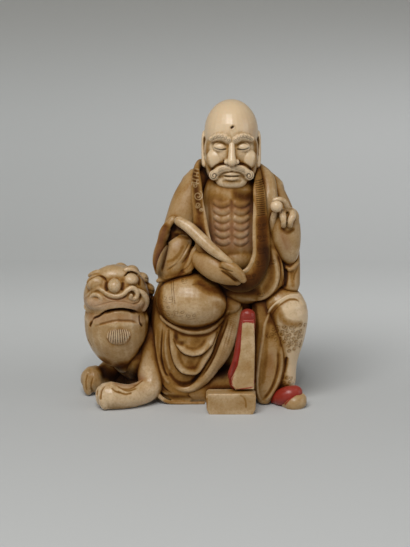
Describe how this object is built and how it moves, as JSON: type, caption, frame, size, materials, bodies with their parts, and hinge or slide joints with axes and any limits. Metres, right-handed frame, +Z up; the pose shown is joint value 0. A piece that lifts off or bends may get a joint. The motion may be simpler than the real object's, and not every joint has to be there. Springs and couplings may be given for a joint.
{
  "type": "statuette",
  "caption": "Carved stone figure of a bald, robed luohan seated on a crouching lion, with a scroll across his chest, a pearl in his raised hand and one foot upright on a low block.",
  "frame": {"origin": "centre of the bounding box in X and Y, on the table plane", "axes": "+Z up; the luohan looks towards -Y; the lion's head is at -X"},
  "size_m": [0.0726, 0.039, 0.0953],
  "materials": {
    "luohan_head": "polished, with brown stain in the brows, moustache and ears",
    "bare_torso": "satin, stained brown between the ribs",
    "collar_band": "stained brown, engraved, with a cream raised edge",
    "upper_robe": "stained brown in the recesses and polished",
    "right_sleeve": "stained brown in the recesses and polished",
    "right_hand": "polished",
    "scroll": "polished",
    "left_sleeve": "stained brown in the recesses and polished",
    "left_forearm": "polished",
    "left_hand": "polished, stained between the fingers",
    "pearl": "polished",
    "right_knee_robe": "highly polished, with brown stain at both sides",
    "lap_drapery": "stained brown in the recesses and polished",
    "left_leg_robe": "polished, engraved with curls",
    "hanging_panel": "stained brown, satin",
    "right_shoe": "painted red",
    "right_shoe_sole": "polished",
    "left_shoe": "painted red",
    "left_shoe_sole": "polished",
    "footrest": "polished",
    "lion_head": "polished, stained in the creases",
    "lion_beard": "engraved strands, stained between them",
    "lion_mane": "engraved curls, stained between them",
    "lion_body": "stained brown in the recesses and polished",
    "lion_left_foreleg": "polished",
    "lion_right_foreleg": "polished",
    "lion_hind_leg": "polished",
    "lion_tail": "polished"
  },
  "bodies": {
    "root": {"luohan_head": "luohan_head", "bare_torso": "bare_torso", "collar_band": "collar_band", "upper_robe": "upper_robe", "right_sleeve": "right_sleeve", "right_hand": "right_hand", "scroll": "scroll", "left_sleeve": "left_sleeve", "left_forearm": "left_forearm", "left_hand": "left_hand", "pearl": "pearl", "right_knee_robe": "right_knee_robe", "lap_drapery": "lap_drapery", "left_leg_robe": "left_leg_robe", "hanging_panel": "hanging_panel", "right_shoe": "right_shoe", "right_shoe_sole": "right_shoe_sole", "left_shoe": "left_shoe", "left_shoe_sole": "left_shoe_sole", "footrest": "footrest", "lion_head": "lion_head", "lion_beard": "lion_beard", "lion_mane": "lion_mane", "lion_body": "lion_body", "lion_left_foreleg": "lion_left_foreleg", "lion_right_foreleg": "lion_right_foreleg", "lion_hind_leg": "lion_hind_leg", "lion_tail": "lion_tail"}
  },
  "joints": []
}
